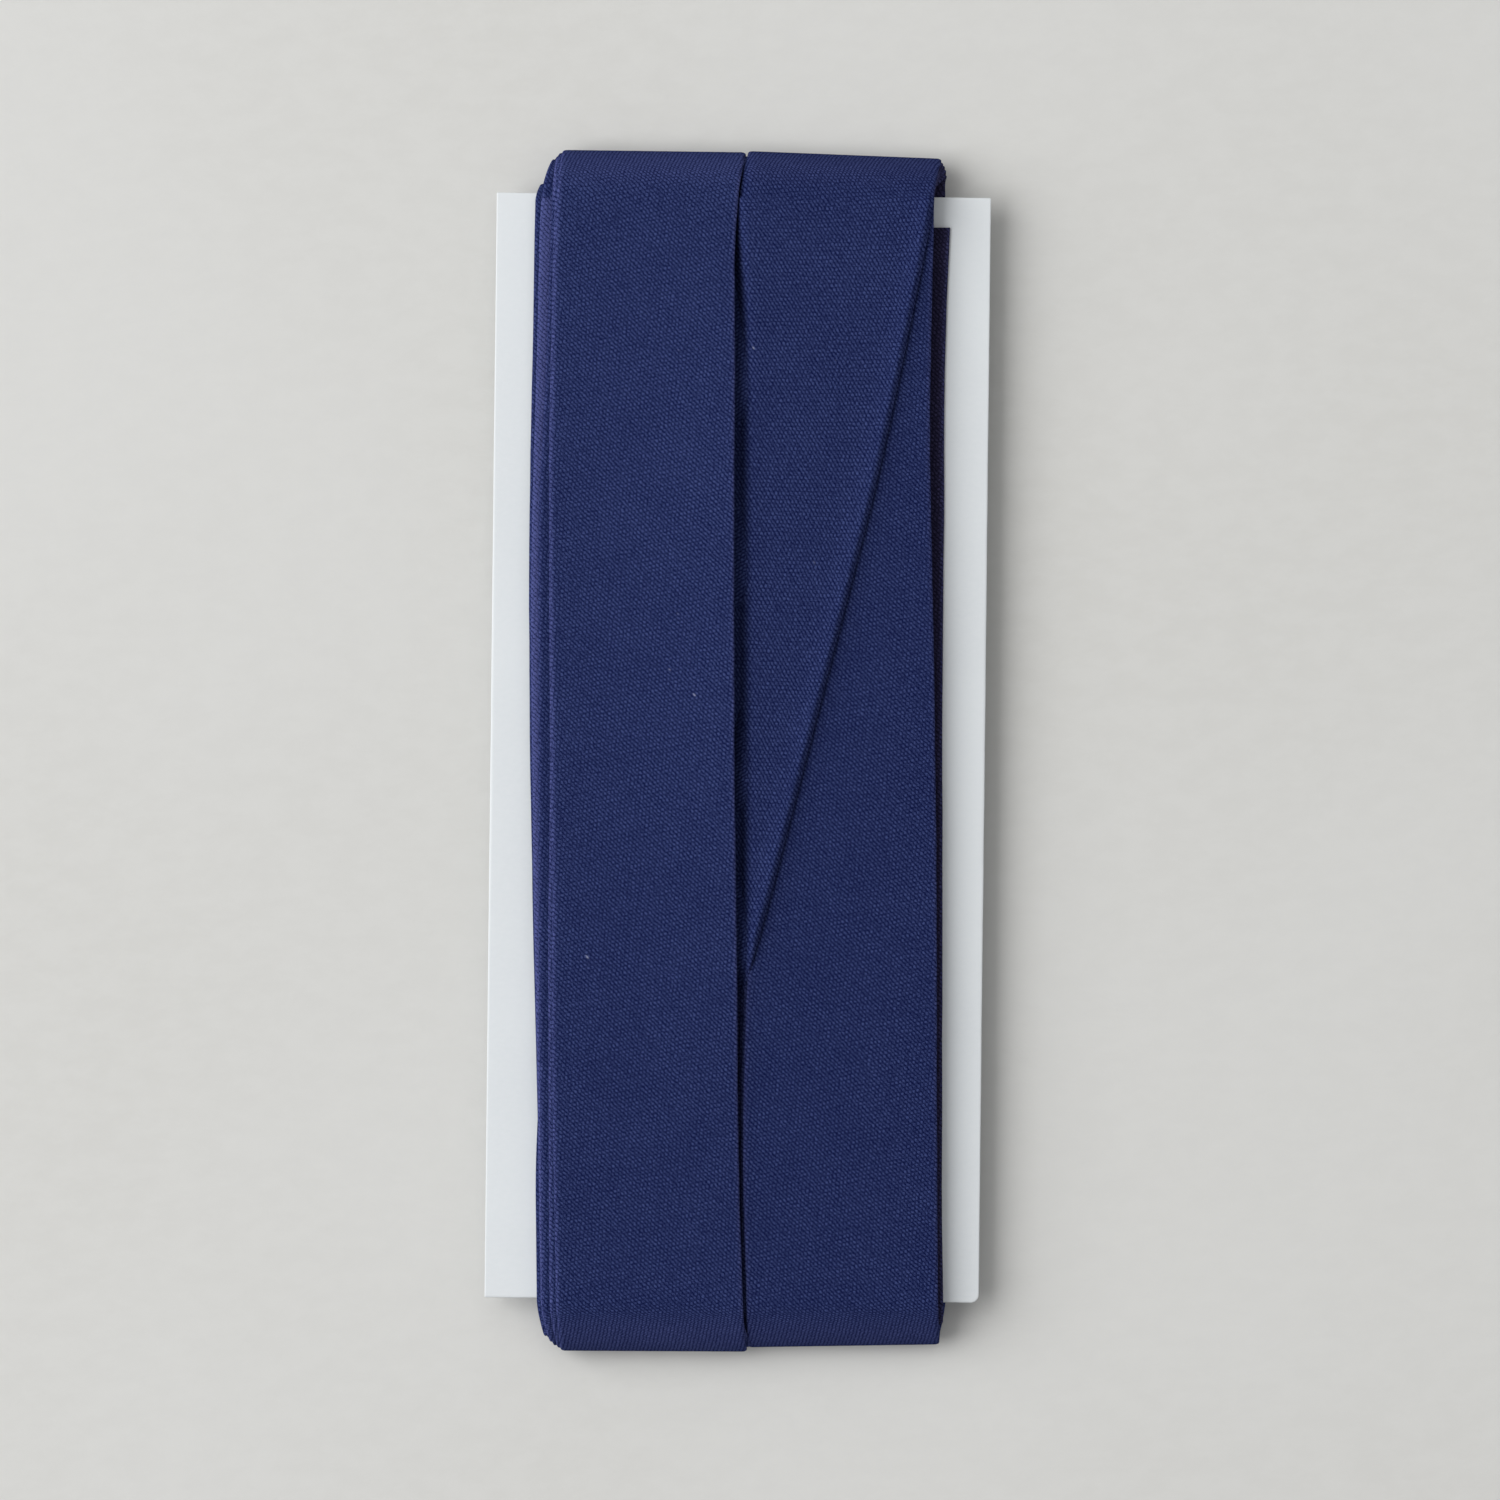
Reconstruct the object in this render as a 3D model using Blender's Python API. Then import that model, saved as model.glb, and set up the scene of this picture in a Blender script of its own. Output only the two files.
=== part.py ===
"""Card of bias tape: a board card with folded cotton tape wound lengthwise round it.

The card lies on its back: +X is to its right, +Y is towards its top edge and +Z points out of
its front. The tape lies in two columns, side by side. It starts in the right column, and one of
its runs crosses the front at a slant to the left column, where the rest is wound over it.
All sizes are in millimetres, and MM turns them into metres.
"""
import math

import bpy
import numpy as np

MM = 0.001

# Board card
CARD_WIDTH = 51.7
CARD_LENGTH = 115.9
CARD_THICKNESS = 0.5
CARD_CENTRE = (-0.05, 0.25)
CARD_TURN = math.radians(-0.64)
CARD_NICK = 0.8

# Tape: each layer is two thicknesses of cotton, the strip with its raw edges folded to the middle
LAYERS = 6
LAYER = 3.25 / LAYERS
GAP = 0.3
END_SHEET = 1.0

# Heights above the surface that the part lies on
CARD_BACK = LAYERS * LAYER
CARD_FRONT = CARD_BACK + CARD_THICKNESS
LEFT_TOP = CARD_FRONT + LAYERS * LAYER
RIGHT_TOP = LEFT_TOP - LAYER
TIER_3_TOP = LEFT_TOP - 1.7 * LAYER
TIER_2_TOP = LEFT_TOP - 2.7 * LAYER
TIER_1_TOP = LEFT_TOP - 3.7 * LAYER
SLOT_BACK = CARD_BACK - GAP
SLOT_FRONT = CARD_FRONT + GAP
END_SLOT_FRONT = SLOT_FRONT + END_SHEET + GAP
SLOT_STEP_X = 1.4

# Edges of the tape on the front, from top to bottom. tier_1 to tier_3 are the left edges of lower
# layers, wrap is the outermost layer of the left column, ramp is where the crossing run has
# come up out of the seam, slant is its right edge, and right is the edge of the right column.
# cross is the height of the crossing run, and groove is how deep the seam beside it is. ridge is
# the height of the wrap's right edge, which the crossing run under it lifts.
FRONT_COLUMNS = ("y", "tier_1", "tier_2", "tier_3", "wrap_left", "wrap_right", "ramp", "slant",
                 "right", "cross", "groove", "ridge")
FRONT_ROWS = (
    (57.6, -21.20, -20.20, -19.50, -18.90, 0.10, 0.75, 20.60, 20.80, 7.00, 1.4, 7.00),
    (54.7, -21.25, -20.30, -19.70, -19.10, -0.20, 0.60, 20.10, 20.60, 7.00, 1.6, 7.10),
    (47.1, -21.35, -20.70, -20.05, -19.30, -0.10, 1.60, 18.60, 20.40, 7.00, 2.2, 7.60),
    (36.6, -21.60, -21.15, -20.45, -19.60, -0.10, 1.90, 16.50, 20.25, 7.00, 2.2, 8.10),
    (26.2, -21.80, -21.55, -20.85, -19.70, -0.10, 1.90, 14.20, 20.35, 7.00, 2.2, 8.35),
    (15.7, -21.90, -21.64, -20.90, -19.60, -0.10, 1.90, 11.50, 20.50, 7.00, 2.2, 8.40),
    (5.2, -21.80, -21.54, -20.90, -19.50, -0.10, 1.90, 8.80, 20.70, 7.00, 2.2, 8.40),
    (-5.2, -21.70, -21.44, -20.90, -19.45, -0.10, 1.80, 6.10, 20.80, 7.00, 2.2, 8.30),
    (-15.7, -21.50, -21.24, -20.85, -19.40, 0.00, 1.60, 3.40, 20.85, 6.95, 2.1, 7.95),
    (-24.6, -21.30, -21.04, -20.75, -19.40, 0.10, 0.85, 1.40, 20.90, 6.70, 1.8, 7.60),
    (-36.6, -21.00, -20.74, -20.45, -19.40, 0.25, 0.80, 1.40, 20.90, 6.46, 1.5, 7.20),
    (-47.1, -20.85, -20.59, -20.30, -19.25, 0.35, 0.95, 1.55, 20.90, 6.46, 1.4, 7.10),
    (-57.6, -20.70, -20.44, -20.15, -19.00, 0.60, 1.20, 1.80, 21.00, 6.46, 1.4, 7.00),
)

# The same edges half way round each end loop, and across the back
EDGE_COLUMNS = ("tier_1", "tier_2", "tier_3", "wrap_left", "wrap_right", "ramp", "slant", "right")
TOP_LOOP = (-21.10, -20.40, -19.40, -18.50, 0.75, 1.45, 21.20, 21.45)
BACK_TOP = (-21.40, -21.15, -20.75, -20.10, 0.30, 0.90, 21.30, 21.90)
BACK_BOTTOM = (-21.40, -21.15, -20.75, -20.10, 0.30, 0.90, 2.10, 21.90)
BOTTOM_LOOP = (-20.50, -20.15, -19.60, -18.70, 0.80, 1.50, 2.10, 21.30)

# How far the loops reach beyond the middle, at the top and at the bottom, at each edge
TOP_REACH = (59.8, 60.3, 61.6, 63.05, 62.6, 62.9, 62.0, 61.9)
BOTTOM_REACH = (61.0, 61.6, 62.3, 62.85, 63.05, 62.6, 62.6, 62.3)

# The tape's starting end, on the card's front: its right edge from the cut end down
END_LEFT = 2.0
END_ROWS = ((54.6, 22.35), (52.5, 22.05), (47.0, 21.90), (36.6, 21.65), (15.7, 21.45),
            (-36.6, 21.40), (-57.2, 21.55))
END_STEPS = 22

# The tape's outer end, on the back: above it the left column is one layer thinner
OUTER_END_Y = 38.0
OUTER_END_STEP = 0.06
LEFT_EDGES = ("tier_1", "tier_2", "tier_3", "wrap_left", "wrap_mid", "wrap_far", "wrap_right")

FRONT_STEPS = 37
BACK_STEPS_ABOVE = 4
BACK_STEPS_BELOW = 14
BACK_STEPS = BACK_STEPS_ABOVE + BACK_STEPS_BELOW
LOOP_STEPS = 9
LOOP_START = 57.6
SLOT_REACH = 58.0
SLOT_ROUND = 0.75
SLOT_SQUARENESS = 5.0
SHOULDER = 0.16
SHOULDER_DROP = 0.14
SEAM_WIDTH = 0.12
WRAP_FAR = 0.8
RIDGE_POWER = 1.8


def plain_material(name, colour, roughness):
    """A Principled material with one colour and roughness, not metallic."""
    material = bpy.data.materials.new(name)
    material.use_nodes = True
    shader = material.node_tree.nodes["Principled BSDF"]
    shader.inputs["Base Color"].default_value = (*colour, 1.0)
    shader.inputs["Roughness"].default_value = roughness
    shader.inputs["Metallic"].default_value = 0.0
    return material


def add_solid(name, points, faces, material):
    """One object from points in millimetres and the faces between them."""
    mesh = bpy.data.meshes.new(name)
    mesh.from_pydata((np.asarray(points) * MM).tolist(), [], faces)
    mesh.validate()
    mesh.update()
    mesh.materials.append(material)
    solid = bpy.data.objects.new(name, mesh)
    bpy.context.scene.collection.objects.link(solid)
    return solid


def prism(outline, low, high):
    """The points and faces of an upright plate on an outline that runs anticlockwise."""
    count = len(outline)
    points = [(x, y, low) for x, y in outline] + [(x, y, high) for x, y in outline]
    faces = [tuple(reversed(range(count))), tuple(range(count, 2 * count))]
    faces += [(i, (i + 1) % count, (i + 1) % count + count, i + count) for i in range(count)]
    return points, faces


def make_card(material):
    """The board: a turned rectangle whose bottom right corner is nicked."""
    half_w = CARD_WIDTH / 2
    half_l = CARD_LENGTH / 2
    corners = [(-half_w, -half_l), (half_w - CARD_NICK, -half_l),
               (half_w - 0.3 * CARD_NICK, -half_l + 0.3 * CARD_NICK), (half_w, -half_l + CARD_NICK),
               (half_w, half_l), (-half_w, half_l)]
    turn_cos = math.cos(CARD_TURN)
    turn_sin = math.sin(CARD_TURN)
    outline = [(CARD_CENTRE[0] + x * turn_cos - y * turn_sin,
                CARD_CENTRE[1] + x * turn_sin + y * turn_cos) for x, y in corners]
    points, faces = prism(outline, CARD_BACK, CARD_FRONT)
    return add_solid("card", points, faces, material)


def make_inner_end(material):
    """The starting end of the tape: a flat sheet on the card, cut square at its top."""
    rows = np.array(END_ROWS)
    y = np.linspace(rows[0, 0], rows[-1, 0], END_STEPS)
    right = np.interp(-y, -rows[:, 0], rows[:, 1])
    outline = [(END_LEFT, y[-1])]
    outline += [(x, height) for x, height in zip(right[::-1], y[::-1])]
    outline += [(END_LEFT, y[0])]
    points, faces = prism(outline, SLOT_FRONT, SLOT_FRONT + END_SHEET)
    return add_solid("tape_inner_end", points, faces, material)


def front_at(y):
    """Every column of the front table at the heights y along the card."""
    rows = np.array(FRONT_ROWS)
    return {name: np.interp(-y, -rows[:, 0], rows[:, column])
            for column, name in enumerate(FRONT_COLUMNS)}


def smooth(share):
    """Goes from 0 to 1 with level ends."""
    return share * share * (3 - 2 * share)


def loop_edges(start, tip, end, turn):
    """An edge's place round an end loop: from the front's, through the tip's, to the back's."""
    first = start + (tip - start) * smooth(np.clip(turn * 2, 0, 1))
    return first + (end - tip) * smooth(np.clip(turn * 2 - 1, 0, 1))


def edges_around():
    """Each edge's x all the way round the winding, with the front's heights beside them.

    The way round goes up the front, over the top loop, down the back and round the bottom loop.
    """
    front = front_at(np.linspace(-LOOP_START, LOOP_START, FRONT_STEPS))
    turn = (np.arange(LOOP_STEPS) + 1) / (LOOP_STEPS + 1)
    edges = {}
    for column, name in enumerate(EDGE_COLUMNS):
        top = loop_edges(front[name][-1], TOP_LOOP[column], BACK_TOP[column], turn)
        bottom = loop_edges(front[name][0], BOTTOM_LOOP[column], BACK_BOTTOM[column], turn)[::-1]
        back = np.linspace(BACK_TOP[column], BACK_BOTTOM[column], BACK_STEPS)
        edges[name] = np.concatenate([front[name], top, back, bottom])
    for name in ("cross", "groove", "ridge"):
        top = np.full(LOOP_STEPS, front[name][-1])
        bottom = np.full(LOOP_STEPS, front[name][0])
        back = np.linspace(front[name][-1], front[name][0], BACK_STEPS)
        edges[name] = np.concatenate([front[name], top, back, bottom])
    return edges


def around(front_z, back_z, lift, top_reach, bottom_reach, roundness=2.0):
    """The y and z of one closed way round: two flat faces and two rounded ends.

    The ends are half super-ellipses about LOOP_START, so a roundness of 2 is an ellipse and a
    higher one is squarer. front_z may be a number or one height for each step. The back lies
    at back_z up to the tape's outer end, and higher by lift above it.
    """
    steps = FRONT_STEPS + BACK_STEPS + 2 * LOOP_STEPS
    height = np.broadcast_to(np.asarray(front_z, dtype=float), (steps,))
    front_y = np.linspace(-LOOP_START, LOOP_START, FRONT_STEPS)
    back_y = np.concatenate([np.linspace(LOOP_START, OUTER_END_Y + OUTER_END_STEP, BACK_STEPS_ABOVE),
                             np.linspace(OUTER_END_Y, -LOOP_START, BACK_STEPS_BELOW)])
    angle = math.pi * (np.arange(LOOP_STEPS) + 1) / (LOOP_STEPS + 1)
    out = np.sin(angle) ** (2 / roundness)
    across = np.sign(np.cos(angle)) * np.abs(np.cos(angle)) ** (2 / roundness)
    y = np.concatenate([front_y, LOOP_START + (top_reach - LOOP_START) * out, back_y,
                        -LOOP_START - (bottom_reach - LOOP_START) * out])
    top = slice(FRONT_STEPS, FRONT_STEPS + LOOP_STEPS)
    bottom = slice(FRONT_STEPS + LOOP_STEPS + BACK_STEPS, steps)
    z = np.full(steps, float(back_z))
    z[:FRONT_STEPS] = height[:FRONT_STEPS]
    z[top] = back_z + lift + (height[top] - back_z - lift) * (1 + across) / 2
    z[top.stop:top.stop + BACK_STEPS_ABOVE] = back_z + lift
    z[bottom] = back_z + (height[bottom] - back_z) * (1 - across) / 2
    return y, z


def outer_stations(edges):
    """The lines that run round the outside of the winding, from its left edge to its right.

    Each is an edge with an offset from it, the height of the front there, the height of the
    back, and how much shorter than the edge's own reach it stays at the loops.
    """
    drop = SHOULDER_DROP
    cross = edges["cross"]
    groove = cross - edges["groove"]
    sides = [("tier_1", 0.0, TIER_1_TOP - 2 * drop, 0.35, 0.3),
             ("tier_1", SHOULDER, TIER_1_TOP, 0.0, 0.0)]
    heights = {"tier_1": TIER_1_TOP, "tier_2": TIER_2_TOP, "tier_3": TIER_3_TOP}
    for lower, name, top in (("tier_1", "tier_2", TIER_2_TOP), ("tier_2", "tier_3", TIER_3_TOP),
                             ("tier_3", "wrap_left", LEFT_TOP)):
        sides += [(name, -0.05, heights[lower] - 0.03, 0.0, 0.1),
                  (name, 0.0, top - drop, 0.0, 0.05),
                  (name, SHOULDER, top, 0.0, 0.0)]
    rise = edges["ridge"] - LEFT_TOP
    wrap = [("wrap_mid", 0.0, LEFT_TOP + rise * 0.5 ** RIDGE_POWER, 0.0, 0.0),
            ("wrap_far", 0.0, LEFT_TOP + rise * WRAP_FAR ** RIDGE_POWER, 0.0, 0.0),
            ("wrap_right", -2 * SHOULDER, LEFT_TOP + rise, 0.0, 0.0),
            ("wrap_right", 0.0, LEFT_TOP + rise - 2 * drop, 0.25, 0.25),
            ("wrap_right", SEAM_WIDTH, groove, 0.6, 0.9)]
    crossing = [("ramp_foot", 0.0, groove + 0.55 * edges["groove"], 0.35, 0.5),
                ("ramp", -0.08, cross - drop, 0.1, 0.1),
                ("cross_mid", 0.0, cross, 0.0, 0.0),
                ("slant", -SHOULDER, cross, 0.0, 0.0),
                ("slant", 0.0, np.minimum(cross, RIGHT_TOP + LAYER - drop), 0.0, 0.0),
                ("slant", 0.06, RIGHT_TOP, 0.0, 0.0)]
    column = [("right_mid", 0.0, RIGHT_TOP, 0.0, 0.0),
              ("right", -SHOULDER / 2, RIGHT_TOP - 0.02, 0.0, 0.0),
              ("right", 0.0, RIGHT_TOP - 2 * drop, 0.35, 0.3)]
    return sides + wrap + crossing + column


def reach_of(name, table):
    """How far the loops reach at an edge, or half way between two edges."""
    halves = {"wrap_mid": ("wrap_left", "wrap_right"), "wrap_far": ("wrap_mid", "wrap_right"),
              "ramp_foot": ("wrap_right", "ramp"),
              "cross_mid": ("ramp", "slant"), "right_mid": ("slant", "right")}
    if name in halves:
        return sum(reach_of(each, table) for each in halves[name]) / 2
    return table[EDGE_COLUMNS.index(name)]


def make_winding(material):
    """The wound tape as one ring-shaped solid, open where the card passes through it."""
    edges = edges_around()
    edges["wrap_mid"] = (edges["wrap_left"] + edges["wrap_right"]) / 2
    edges["wrap_far"] = edges["wrap_left"] + WRAP_FAR * (edges["wrap_right"] - edges["wrap_left"])
    seam = edges["wrap_right"] + SEAM_WIDTH
    edges["ramp_foot"] = seam + 0.35 * (edges["ramp"] - seam)
    edges["cross_mid"] = (edges["ramp"] + edges["slant"]) / 2
    edges["right_mid"] = (edges["slant"] + edges["right"]) / 2
    lines = []
    for name, offset, front_z, back_z, short in outer_stations(edges):
        lift = LAYER if name in LEFT_EDGES else 0.0
        y, z = around(front_z, back_z, lift, reach_of(name, TOP_REACH) - short,
                      reach_of(name, BOTTOM_REACH) - short)
        lines.append(np.column_stack([edges[name] + offset, y, z]))
    steps = len(lines[0])
    slot_reach = SLOT_REACH + SLOT_ROUND
    slot = ((edges["right"], END_SLOT_FRONT), (np.full(steps, SLOT_STEP_X + 0.1), END_SLOT_FRONT),
            (np.full(steps, SLOT_STEP_X), SLOT_FRONT), (edges["tier_1"], SLOT_FRONT))
    for x, front_z in slot:
        y, z = around(front_z, SLOT_BACK, 0.0, slot_reach, slot_reach, SLOT_SQUARENESS)
        lines.append(np.column_stack([x, y, z]))
    count = len(lines)
    points = np.concatenate(lines)
    faces = []
    for line in range(count):
        following = (line + 1) % count
        for step in range(steps):
            after = (step + 1) % steps
            faces.append((line * steps + step, following * steps + step,
                          following * steps + after, line * steps + after))
    return add_solid("tape_winding", points, faces, material)


def main():
    for old in list(bpy.data.objects):
        bpy.data.objects.remove(old, do_unlink=True)
    board = plain_material("white board", (0.72, 0.76, 0.79), 0.7)
    cotton = plain_material("navy cotton", (0.022, 0.034, 0.135), 0.85)
    make_card(board)
    make_winding(cotton)
    make_inner_end(cotton)


main()
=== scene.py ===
"""Card of bias tape, dressed: a white board wound lengthwise with folded navy cotton tape.

Sizes are in millimetres in the frame of the solids (+X right, +Y up the card, +Z out of its
front, the part lying on z = 0), and MM turns them into metres.
"""
import math

import bpy
import numpy as np
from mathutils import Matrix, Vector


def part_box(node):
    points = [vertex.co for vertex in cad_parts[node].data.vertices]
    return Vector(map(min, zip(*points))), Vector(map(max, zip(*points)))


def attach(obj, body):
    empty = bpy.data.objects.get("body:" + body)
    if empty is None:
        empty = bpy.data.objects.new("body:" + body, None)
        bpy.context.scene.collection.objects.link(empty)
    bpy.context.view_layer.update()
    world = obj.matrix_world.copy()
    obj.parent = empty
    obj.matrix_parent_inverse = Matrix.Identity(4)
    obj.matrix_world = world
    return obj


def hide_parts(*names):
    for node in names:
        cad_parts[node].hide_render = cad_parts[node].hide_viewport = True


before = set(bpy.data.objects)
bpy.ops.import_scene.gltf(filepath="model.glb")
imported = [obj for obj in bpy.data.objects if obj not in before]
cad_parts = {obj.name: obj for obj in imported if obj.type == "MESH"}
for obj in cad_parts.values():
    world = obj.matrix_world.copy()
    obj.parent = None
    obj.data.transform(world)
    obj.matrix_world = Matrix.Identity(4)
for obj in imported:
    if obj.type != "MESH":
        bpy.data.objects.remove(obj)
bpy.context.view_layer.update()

MM = 0.001


# The view, the table and the light. The photograph is taken from straight above, 1500 px wide,
# over pale paper, with one big soft light at the left, a little towards the card's top, and weak
# ones at the right and overhead.
PHOTO_PX = 1500.0
MM_PER_PX = 0.1047
ORIGIN_PX = (737.5, 750.0)
CAMERA_HEIGHT = 1500.0
SHARP_HEIGHT = 7.0
SENSOR = 36.0

camera_data = bpy.data.cameras.new("camera")
camera_data.sensor_width = SENSOR
camera_data.lens = SENSOR * (CAMERA_HEIGHT - SHARP_HEIGHT) / (PHOTO_PX * MM_PER_PX)
camera_data.clip_start = 0.05
camera_data.clip_end = 10.0
camera = bpy.data.objects.new("camera", camera_data)
bpy.context.scene.collection.objects.link(camera)
camera.location = ((PHOTO_PX / 2 - ORIGIN_PX[0]) * MM_PER_PX * MM,
                   (ORIGIN_PX[1] - PHOTO_PX / 2) * MM_PER_PX * MM, CAMERA_HEIGHT * MM)
bpy.context.scene.camera = camera
bpy.context.scene.view_settings.view_transform = "Standard"


def soft_light(name, size, azimuth, elevation, distance, power):
    """A square area light aimed at the origin, from azimuth (0 is +X, 90 is +Y) and elevation."""
    data = bpy.data.lights.new(name, "AREA")
    data.shape = "SQUARE"
    data.size = size
    data.energy = power
    light = bpy.data.objects.new(name, data)
    bpy.context.scene.collection.objects.link(light)
    a = math.radians(azimuth)
    e = math.radians(elevation)
    light.location = (distance * math.cos(a) * math.cos(e), distance * math.sin(a) * math.cos(e),
                      distance * math.sin(e))
    light.rotation_euler = (math.pi / 2 - e, 0.0, a + math.pi / 2)
    return light


soft_light("key_light", 1.8, 171.0, 43.0, 1.8, 34.0)
soft_light("right_fill", 1.5, 0.0, 40.0, 1.8, 2.0)
soft_light("overhead_fill", 0.9, 90.0, 62.0, 1.2, 1.6)

world = bpy.data.worlds.new("room")
bpy.context.scene.world = world
world.use_nodes = True
world.node_tree.nodes["Background"].inputs["Color"].default_value = (1.0, 1.0, 1.0, 1.0)
world.node_tree.nodes["Background"].inputs["Strength"].default_value = 0.25


def new_material(name, roughness, specular=0.5):
    """A Principled material of that roughness and specular level; gives it and its shader."""
    material = bpy.data.materials.new(name)
    material.use_nodes = True
    shader = material.node_tree.nodes["Principled BSDF"]
    shader.inputs["Roughness"].default_value = roughness
    shader.inputs["Specular IOR Level"].default_value = specular
    return material, shader


def add_node(tree, kind, **settings):
    """A node of that kind, with the named settings made on it."""
    node = tree.nodes.new(kind)
    for key, value in settings.items():
        setattr(node, key, value)
    return node


def wire(tree, value, socket):
    """Puts a socket's link, or a plain number or tuple, into a socket."""
    if isinstance(value, bpy.types.NodeSocket):
        tree.links.new(value, socket)
    else:
        socket.default_value = value


def calc(tree, operation, first, second=0.0, third=None):
    """A Math node on sockets or numbers; gives its output."""
    node = add_node(tree, "ShaderNodeMath", operation=operation)
    wire(tree, first, node.inputs[0])
    wire(tree, second, node.inputs[1])
    if third is not None:
        wire(tree, third, node.inputs[2])
    return node.outputs[0]


def span(tree, value, low, high, to_low=0.0, to_high=1.0):
    """A smooth step of value from low to high, as to_low to to_high."""
    node = add_node(tree, "ShaderNodeMapRange", interpolation_type="SMOOTHSTEP")
    for socket, number in zip(node.inputs[:5], (value, low, high, to_low, to_high)):
        wire(tree, number, socket)
    return node.outputs[0]


def blend_colour(tree, share, first, second):
    """A mix of two colours, by a share from 0 to 1."""
    node = add_node(tree, "ShaderNodeMix", data_type="RGBA")
    wire(tree, share, node.inputs["Factor"])
    wire(tree, first, node.inputs[6])
    wire(tree, second, node.inputs[7])
    return node.outputs[2]


def bump(tree, height, distance, strength=1.0):
    """A Bump node's normal from a height that goes from 0 to 1, in metres of depth."""
    node = add_node(tree, "ShaderNodeBump")
    node.inputs["Strength"].default_value = strength
    node.inputs["Distance"].default_value = distance
    wire(tree, height, node.inputs["Height"])
    return node.outputs["Normal"]


def new_group(name, inputs, outputs):
    """An empty shader node group with float or vector inputs and outputs, and its end nodes."""
    group = bpy.data.node_groups.new(name, "ShaderNodeTree")
    for label, kind in inputs:
        group.interface.new_socket(name=label, in_out="INPUT", socket_type=kind)
    for label, kind in outputs:
        group.interface.new_socket(name=label, in_out="OUTPUT", socket_type=kind)
    return group, group.nodes.new("NodeGroupInput"), group.nodes.new("NodeGroupOutput")


def use_group(tree, group, **values):
    """A group placed in a material, with the named inputs set or linked."""
    node = add_node(tree, "ShaderNodeGroup", node_tree=group)
    for label, value in values.items():
        wire(tree, value, node.inputs[label])
    return node


def paper_fibre_group():
    """Paper: fine grain with a slow cloudiness. Fine is the grain at Scale per metre of the
    vector, stretched a little along X as fibres lie, and Cloud is noise forty times larger."""
    group, start, end = new_group(
        "paper_fibre", [("Vector", "NodeSocketVector"), ("Scale", "NodeSocketFloat")],
        [("Fine", "NodeSocketFloat"), ("Cloud", "NodeSocketFloat")])
    stretched = add_node(group, "ShaderNodeVectorMath", operation="MULTIPLY")
    wire(group, start.outputs["Vector"], stretched.inputs[0])
    stretched.inputs[1].default_value = (0.55, 1.0, 1.0)
    grain = add_node(group, "ShaderNodeTexNoise")
    wire(group, stretched.outputs[0], grain.inputs["Vector"])
    wire(group, start.outputs["Scale"], grain.inputs["Scale"])
    grain.inputs["Detail"].default_value = 4.0
    grain.inputs["Roughness"].default_value = 0.65
    cloud = add_node(group, "ShaderNodeTexNoise")
    wire(group, start.outputs["Vector"], cloud.inputs["Vector"])
    wire(group, calc(group, "MULTIPLY", start.outputs["Scale"], 0.025), cloud.inputs["Scale"])
    wire(group, grain.outputs["Fac"], end.inputs["Fine"])
    wire(group, cloud.outputs["Fac"], end.inputs["Cloud"])
    return group


paper_fibre = paper_fibre_group()


def add_piece(name, points, faces, material, smooth=True):
    """A mesh object at the origin from points in millimetres, of one material."""
    mesh = bpy.data.meshes.new(name)
    mesh.from_pydata((np.asarray(points) * MM).tolist(), [], faces)
    mesh.update()
    mesh.materials.append(material)
    mesh.polygons.foreach_set("use_smooth", np.full(len(mesh.polygons), smooth))
    piece = bpy.data.objects.new(name, mesh)
    bpy.context.scene.collection.objects.link(piece)
    return piece


TABLE_SIZE = 3000.0
TABLE_DARK = (0.690, 0.687, 0.662, 1.0)
TABLE_LIGHT = (0.722, 0.722, 0.704, 1.0)
TABLE_GRAIN = (0.745, 0.745, 0.725, 1.0)
table_half = TABLE_SIZE / 2
table_material, table_shader = new_material("pale_paper", 0.85, 0.25)
table_tree = table_material.node_tree
table_place = add_node(table_tree, "ShaderNodeTexCoord").outputs["Object"]
table_paper = use_group(table_tree, paper_fibre, Vector=table_place, Scale=420.0)
table_fine = span(table_tree, table_paper.outputs["Fine"], 0.35, 0.65)
table_cloud = span(table_tree, table_paper.outputs["Cloud"], 0.3, 0.7)
table_tone = blend_colour(table_tree, table_cloud, TABLE_DARK, TABLE_LIGHT)
table_grain = calc(table_tree, "MULTIPLY", table_fine, 0.35)
table_relief = bump(table_tree, table_paper.outputs["Fine"], 0.00012, 0.5)
wire(table_tree, blend_colour(table_tree, table_grain, table_tone, TABLE_GRAIN),
     table_shader.inputs["Base Color"])
wire(table_tree, table_relief, table_shader.inputs["Normal"])
table_top = add_piece("table_top", [(-table_half, -table_half, 0.0), (table_half, -table_half, 0.0),
                                    (table_half, table_half, 0.0), (-table_half, table_half, 0.0)],
                      [(0, 1, 2, 3)], table_material, smooth=False)


# The card: a white board, guillotined to a rectangle and lying a little askew of the tape. Its
# cut edges are crisp with a soft burr, and its bottom right corner is knocked in.
CARD_WIDTH = 51.84
CARD_LENGTH = 115.9
CARD_CENTRE = (0.02, 0.25)
CARD_TURN = math.radians(-0.64)
CARD_CORNER = 0.14
CARD_KNOCK = 0.8
CARD_STEPS = 120
CARD_BURR = 0.035
card_low, card_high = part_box("card")
card_back = card_low[2] / MM
card_front = card_high[2] / MM


def wander(values, seed, pitch, amount):
    """A smooth random line: cosines of about the pitch and its octaves, added up."""
    rng = np.random.default_rng(seed)
    total = np.zeros_like(values, dtype=float)
    for octave in range(4):
        wave = 2 * math.pi / (pitch * rng.uniform(0.8, 1.25) / 1.9 ** octave)
        total += np.cos(values * wave + rng.uniform(0, 2 * math.pi)) / 1.6 ** octave
    return total * amount / 2.2


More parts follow.
